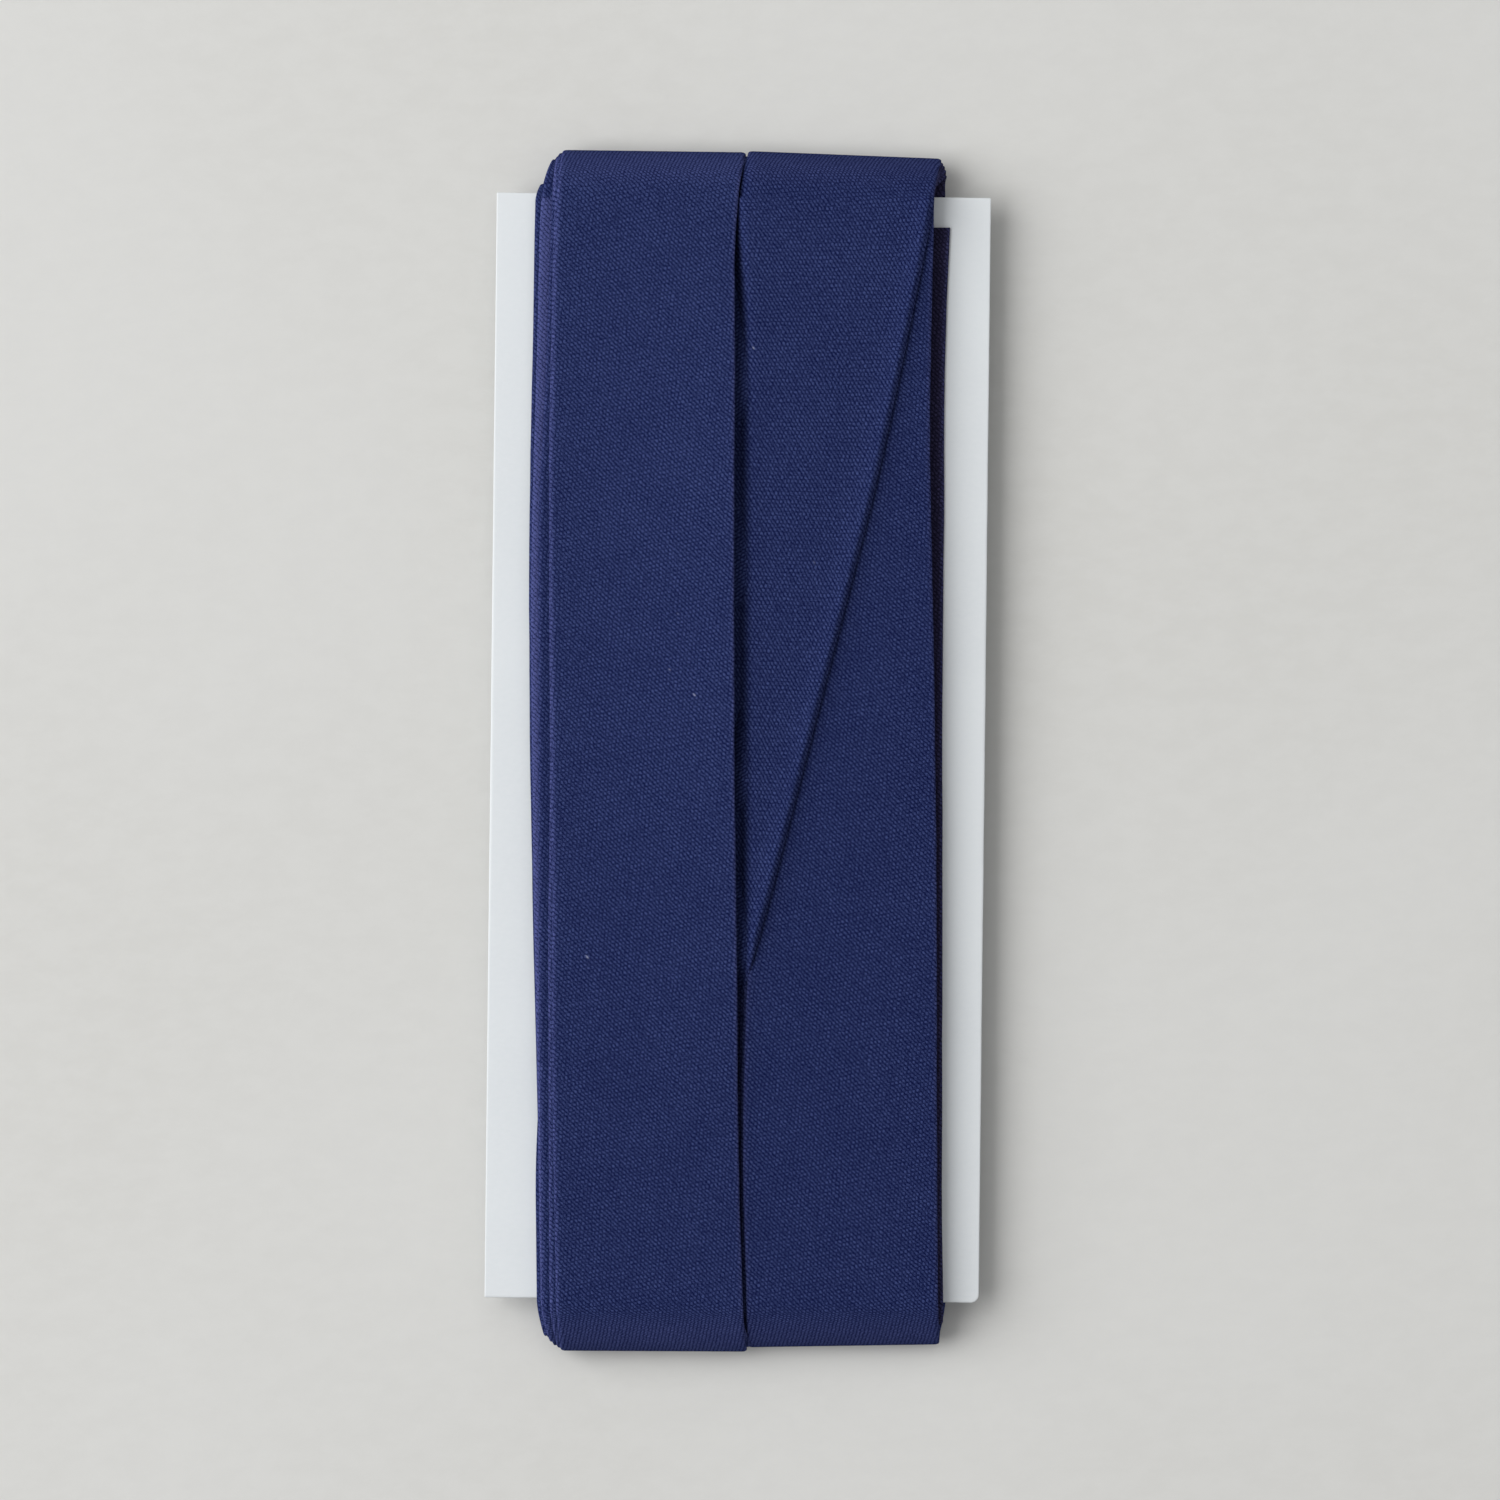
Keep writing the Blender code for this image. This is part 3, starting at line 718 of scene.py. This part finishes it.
def make_tape(material):
    """The wound strip: its folded section carried along the stations, across in x and its depth
    square to the path, with the lift of the wraps added on the front. The crossing run is laid
    out from its own middle line instead, each point by its foot on that line, so that it turns
    without stretching and starts level at the top, and the loop before it is tucked in at its
    left. UV is the place on the flat strip, and the weave is crowded over the shoulder of a
    loop, as bias cloth is where it is pressed round. Gives the piece and the strip's length."""
    left, right, y, z, turn, part, tilt, flare = tape_path()
    steps = np.hypot(np.diff((left + right) / 2), np.hypot(np.diff(y), np.diff(z)))
    length = np.concatenate([[0.0], np.cumsum(steps)])
    crossing = (turn == 5) & (part == 0)
    jump = np.flatnonzero(np.diff(crossing.astype(int)) == -1)[0] + 1
    length[jump:] -= 5 * LAYER * JUMP_SHARE
    beyond = np.abs(y) - np.where(y > 0, CROWD_TOP, CROWD_BOTTOM)
    shoulder = smooth(beyond / CROWD_RISE) * smooth(z - CROWD_LOW) * (part % 2)
    woven = np.concatenate([[0.0], np.cumsum(np.diff(length) * (1 + CROWDED * shoulder[1:]))])
    left = left + np.where(crossing, 0.0, stray(length, 11, 31.0))
    right = right + np.where(crossing, 0.0, stray(length, 13, 27.0))
    half = (right - left - CLOTH) / 2
    middle = (left + right) / 2
    middle_y, middle_x, slant = cross_middle()
    start_angle = cross_start_angle()
    ramp_middle = (column("ramp", y) - RAMP_WIDTH / 2 - middle) / math.cos(start_angle)
    across, depth, strip = fold_section(half, face_places(len(y), ramp_middle, half, crossing))
    over_top = np.flatnonzero((turn == 4) & (part == 3))
    come = smooth(np.linspace(-0.9, 1.0, LOOP_STEPS))[:, None]
    depth[over_top] += TUCK * come * (1 - smooth(across[over_top] + half[over_top, None]))
    ahead = np.gradient(np.column_stack([y, z]), axis=0)
    ahead[crossing] = (-1.0, 0.0)
    for edge in (jump, jump + 1):
        ahead[edge] = (y[edge + 1] - y[edge], z[edge + 1] - z[edge])
    first = np.flatnonzero(crossing)[0] - 1
    ahead[first] = (y[first] - y[first - 1], z[first] - z[first - 1])
    ahead /= np.linalg.norm(ahead, axis=1)[:, None]
    out_y = ahead[:, 1][:, None]
    out_z = -ahead[:, 0][:, None]
    loop = np.clip((np.abs(y) - LOOP_START) / TILT_RISE, 0, 1)[:, None]
    share = across / (2 * half[:, None])
    px = middle[:, None] + across
    further = tilt[:, None] * share + flare[:, None] * np.exp(-(across + half[:, None]) / FLARE_WIDTH)
    py = y[:, None] - depth * out_y + np.sign(y)[:, None] * loop * further
    pz = z[:, None] - depth * out_z
    on_left = ((part == 0) & (turn >= 6))[:, None]
    pz = pz + np.where(on_left, lifted(px, py), 0.0)
    place = np.broadcast_to(woven[:, None], across.shape).copy()
    fan = 1 - smooth((LOOP_START - y) / FAN_LENGTH)[:, None]
    foot = y[:, None] + across * math.sin(start_angle) * fan
    angle = np.interp(-foot, -middle_y, slant)
    cross_x = np.interp(-foot, -middle_y, middle_x) + across * np.cos(angle)
    cross_y = foot - across * np.sin(angle)
    here = crossing[:, None]
    px = np.where(here, cross_x, px)
    py = np.where(here, cross_y, py)
    over = crossing_drop(cross_x, cross_y, across / half[:, None])
    pz = np.where(here, z[:, None] - depth + over, pz)
    place = np.where(here, place + (y[:, None] - foot) / math.cos(start_angle), place)
    before = (turn == 4) & (part >= 2)
    turned = np.where(before, smooth((length - length[before][0]) / np.ptp(length[before])), 0.0)
    place -= across * math.tan(start_angle) * turned[:, None]
    points = np.stack([px, py, pz], axis=2).reshape(-1, 3)
    tape = add_piece("wound_tape", points, grid_faces(*strip.shape), material)
    corner = np.empty(len(tape.data.loops), dtype=np.int32)
    tape.data.loops.foreach_get("vertex_index", corner)
    flat = np.stack([strip, place], axis=2).reshape(-1, 2)
    layer = tape.data.uv_layers.new(name="strip")
    layer.data.foreach_set("uv", (flat[corner] * MM).ravel())
    from_edge = half[:, None] - np.abs(across)
    add_value(tape, "painted_highlight", painted_paleness(turn, part, py, out_z, depth, from_edge))
    add_value(tape, "painted_shading", np.repeat(painted_light_and_shade(turn, part, y), across.shape[1]))
    add_value(tape, "crowded", np.repeat(shoulder, across.shape[1]))
    return tape, length[-1]


def noise(tree, vector, scale, detail=2.0, roughness=0.5):
    """A Noise Texture's value, 0 to 1, at that scale."""
    node = add_node(tree, "ShaderNodeTexNoise")
    wire(tree, vector, node.inputs["Vector"])
    node.inputs["Scale"].default_value = scale
    node.inputs["Detail"].default_value = detail
    node.inputs["Roughness"].default_value = roughness
    return node.outputs["Fac"]


# Threads per millimetre across the strip and along it, of the coarse set and of the fine one, and
# how much painted shade darkens the hollows between the ribs where the weave is crowded.
COARSE_THREADS = (2.051, -2.027)
FINE_THREADS = (3.112, 2.569)
RIB_SHADE = 0.38


def plain_weave_group():
    """Plain weave from the strip's place in millimetres: two sets of threads, each round across
    (a sine of its own phase) and waving over and under the other, with uneven spacing. Height is
    the higher thread's. Tone, 0 to 1, falls with painted shade in the pits and between the coarse
    threads, is lower where the fine threads lie on top, and wanders along each thread. Where
    Crowded, the crossings that stand in rows along the strip show as ribs (the cosine of both
    phases together), with painted shade in the hollows between them."""
    group, start, end = new_group(
        "plain_weave", [("Place", "NodeSocketVector"), ("Unevenness", "NodeSocketFloat"),
                        ("Crowded", "NodeSocketFloat")],
        [("Height", "NodeSocketFloat"), ("Tone", "NodeSocketFloat")])
    split = add_node(group, "ShaderNodeSeparateXYZ")
    wire(group, start.outputs["Place"], split.inputs[0])
    place = start.outputs["Place"]
    phases = []
    for (across, along), scale in ((COARSE_THREADS, 0.9), (FINE_THREADS, 1.3)):
        even = calc(group, "MULTIPLY_ADD", split.outputs[0], across,
                    calc(group, "MULTIPLY", split.outputs[1], along))
        drift = calc(group, "SUBTRACT", noise(group, place, scale, 3.0, 0.6), 0.5)
        drift = calc(group, "MULTIPLY", drift, start.outputs["Unevenness"])
        phases.append(calc(group, "ADD", even, drift))
    waves = [calc(group, "SINE", calc(group, "MULTIPLY", phase, math.pi)) for phase in phases]
    rounds = [calc(group, "ABSOLUTE", wave) for wave in waves]
    signs = [calc(group, "SIGN", wave) for wave in waves]
    over = calc(group, "MULTIPLY", signs[0], waves[1])
    under = calc(group, "MULTIPLY", calc(group, "MULTIPLY", signs[1], waves[0]), -1.0)
    coarse = calc(group, "MULTIPLY_ADD", over, 0.4, calc(group, "POWER", rounds[0], 0.8))
    fine = calc(group, "MULTIPLY_ADD", under, 0.4,
                calc(group, "MULTIPLY", calc(group, "POWER", rounds[1], 0.8), 0.85))
    height = calc(group, "MAXIMUM", coarse, fine)
    threads = []
    for first, second, shift in ((phases[0], phases[1], 0.0), (phases[1], phases[0], 40.0)):
        lane = add_node(group, "ShaderNodeCombineXYZ")
        wire(group, calc(group, "MULTIPLY", calc(group, "FLOOR", first), 1.71), lane.inputs[0])
        wire(group, calc(group, "MULTIPLY", second, 0.33), lane.inputs[1])
        lane.inputs[2].default_value = shift
        threads.append(span(group, noise(group, lane.outputs[0], 1.0, 2.0, 0.6), 0.25, 0.75, 0.55, 1.0))
    on_top = span(group, calc(group, "SUBTRACT", coarse, fine), -0.16, 0.16)
    thread = calc(group, "ADD", calc(group, "MULTIPLY", threads[0], on_top),
                  calc(group, "MULTIPLY", threads[1], calc(group, "SUBTRACT", 1.0, on_top)))
    # Painted shade in the pits between the threads and in the grooves between the coarse threads.
    pit_shade = span(group, height, 0.95, 0.35, 1.0, 0.10)
    groove = calc(group, "POWER", calc(group, "SUBTRACT", 1.0, rounds[0]), 2.0)
    groove_shade = calc(group, "SUBTRACT", 1.0, calc(group, "MULTIPLY", groove, 0.74))
    side = calc(group, "MULTIPLY_ADD", on_top, 0.48, 0.52)
    tone = calc(group, "MULTIPLY", calc(group, "MULTIPLY", pit_shade, groove_shade),
                calc(group, "MULTIPLY", side, thread))
    wire(group, calc(group, "MULTIPLY", height, 0.72), end.inputs["Height"])
    both = calc(group, "ADD", phases[0], phases[1])
    rib = calc(group, "COSINE", calc(group, "MULTIPLY", both, math.pi))
    rib = calc(group, "MULTIPLY", rib, start.outputs["Crowded"])
    # Painted shade in the hollows between the ribs.
    rib_shaded = calc(group, "MULTIPLY_ADD", rib, -RIB_SHADE, 1.0)
    wire(group, calc(group, "MULTIPLY", calc(group, "POWER", tone, 0.8), rib_shaded), end.inputs["Tone"])
    return group


LINT_ANGLE = 0.78


def lint_group():
    """Stray bits of pale fibre: a few of the cells of a Voronoi pattern, each with a small blot at
    its point, drawn out along the threads. Amount is the share of cells that hold one."""
    group, start, end = new_group(
        "lint", [("Place", "NodeSocketVector"), ("Amount", "NodeSocketFloat")],
        [("Mask", "NodeSocketFloat")])
    turned = add_node(group, "ShaderNodeVectorRotate", rotation_type="Z_AXIS")
    wire(group, start.outputs["Place"], turned.inputs["Vector"])
    turned.inputs["Angle"].default_value = LINT_ANGLE
    drawn = add_node(group, "ShaderNodeVectorMath", operation="MULTIPLY")
    wire(group, turned.outputs["Vector"], drawn.inputs[0])
    drawn.inputs[1].default_value = (1.0, 0.45, 1.0)
    cells = add_node(group, "ShaderNodeTexVoronoi")
    cells.inputs["Scale"].default_value = 0.62
    wire(group, drawn.outputs[0], cells.inputs["Vector"])
    pick = add_node(group, "ShaderNodeSeparateColor")
    wire(group, cells.outputs["Color"], pick.inputs[0])
    chosen = calc(group, "LESS_THAN", pick.outputs[0], start.outputs["Amount"])
    ragged = calc(group, "MULTIPLY_ADD", noise(group, start.outputs["Place"], 14.0, 2.0, 0.7), 0.09,
                  calc(group, "SUBTRACT", cells.outputs["Distance"], 0.045))
    size = calc(group, "MULTIPLY_ADD", pick.outputs[1], 0.040, 0.010)
    blot = span(group, ragged, calc(group, "MULTIPLY", size, 2.0), calc(group, "MULTIPLY", size, 0.6))
    faint = calc(group, "MULTIPLY_ADD", pick.outputs[2], 0.6, 0.25)
    mask = calc(group, "MULTIPLY", calc(group, "MULTIPLY", blot, chosen), faint)
    wire(group, mask, end.inputs["Mask"])
    return group


plain_weave = plain_weave_group()
lint = lint_group()

# The cotton's colours: of its pits, with painted shade, and of its threads; the same two near
# black as painted shade where wraps lie in shadow; and a paler navy for the painted highlight on
# fold crowns and the painted light over the loops, taken on as far as the threads are light.
NAVY_DEEP = (0.0004, 0.0020, 0.035, 1.0)
NAVY_THREAD = (0.0500, 0.0705, 0.2000, 1.0)
NAVY_HIGHLIGHT = (0.082, 0.097, 0.27, 1.0)
SHADED_DEEP = (0.0080, 0.0072, 0.0210, 1.0)
SHADED_THREAD = (0.0660, 0.0600, 0.1400, 1.0)
LINT_PALE = (0.28, 0.31, 0.46, 1.0)
FOLD_STRENGTH = 0.62
cotton, cotton_shader = new_material("navy_cotton", 0.80, 0.0)
cotton_tree = cotton.node_tree
cotton_uv = add_node(cotton_tree, "ShaderNodeUVMap", uv_map="strip")
strip_mm = add_node(cotton_tree, "ShaderNodeVectorMath", operation="SCALE")
wire(cotton_tree, cotton_uv.outputs["UV"], strip_mm.inputs[0])
strip_mm.inputs["Scale"].default_value = 1 / MM
strip_place = strip_mm.outputs[0]
crowded = add_node(cotton_tree, "ShaderNodeAttribute", attribute_name="crowded").outputs["Fac"]
weave = use_group(cotton_tree, plain_weave, Place=strip_place, Unevenness=1.2, Crowded=crowded)
bits = use_group(cotton_tree, lint, Place=strip_place, Amount=0.08)
cloudy = span(cotton_tree, noise(cotton_tree, strip_place, 0.16, 3.0, 0.6), 0.3, 0.7, 0.92, 1.04)
speckle = span(cotton_tree, noise(cotton_tree, strip_place, 4.2, 2.0, 0.8), 0.34, 0.66, 0.42, 1.28)
painted_shading = add_node(cotton_tree, "ShaderNodeAttribute", attribute_name="painted_shading").outputs["Fac"]
# Painted light and shade: the tone is raised on the outer turns and towards the top, and lowered on the
# wraps in shadow.
slow = calc(cotton_tree, "MULTIPLY", cloudy, calc(cotton_tree, "MULTIPLY_ADD", painted_shading, 0.23, 0.93))
toned = calc(cotton_tree, "MULTIPLY", weave.outputs["Tone"], slow)
toned = calc(cotton_tree, "MULTIPLY", toned, speckle)
# Painted shade: near-black colours on the first turn and on the right column's lower loop tops, which
# lie in shadow.
shade_share = span(cotton_tree, painted_shading, -0.5, -1.0)
woven_tone = blend_colour(cotton_tree, toned, blend_colour(cotton_tree, shade_share, NAVY_DEEP, SHADED_DEEP),
                          blend_colour(cotton_tree, shade_share, NAVY_THREAD, SHADED_THREAD))
# Painted highlight on the fold crowns and painted light over the loops: a paler navy blended in.
fold_mask = add_node(cotton_tree, "ShaderNodeAttribute", attribute_name="painted_highlight").outputs["Fac"]
fold_light = calc(cotton_tree, "MULTIPLY", toned, FOLD_STRENGTH)
fold_share = calc(cotton_tree, "MULTIPLY", fold_mask, fold_light)
highlighted_tone = blend_colour(cotton_tree, fold_share, woven_tone, NAVY_HIGHLIGHT)
wire(cotton_tree, blend_colour(cotton_tree, bits.outputs["Mask"], highlighted_tone, LINT_PALE),
     cotton_shader.inputs["Base Color"])
cotton_relief = bump(cotton_tree, weave.outputs["Height"], 0.00006, 0.8)
wire(cotton_tree, cotton_relief, cotton_shader.inputs["Normal"])
cotton_shader.inputs["Sheen Weight"].default_value = 0.015
cotton_shader.inputs["Sheen Roughness"].default_value = 0.3
cotton_shader.inputs["Sheen Tint"].default_value = (0.5, 0.55, 0.9, 1.0)

wound_tape, tape_length = make_tape(cotton)
thickness = wound_tape.modifiers.new("cloth", "SOLIDIFY")
thickness.thickness = CLOTH * MM
thickness.offset = 0.0
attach(wound_tape, "root")
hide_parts("tape_winding", "tape_inner_end")
print(f"tape length {tape_length:.1f} mm")
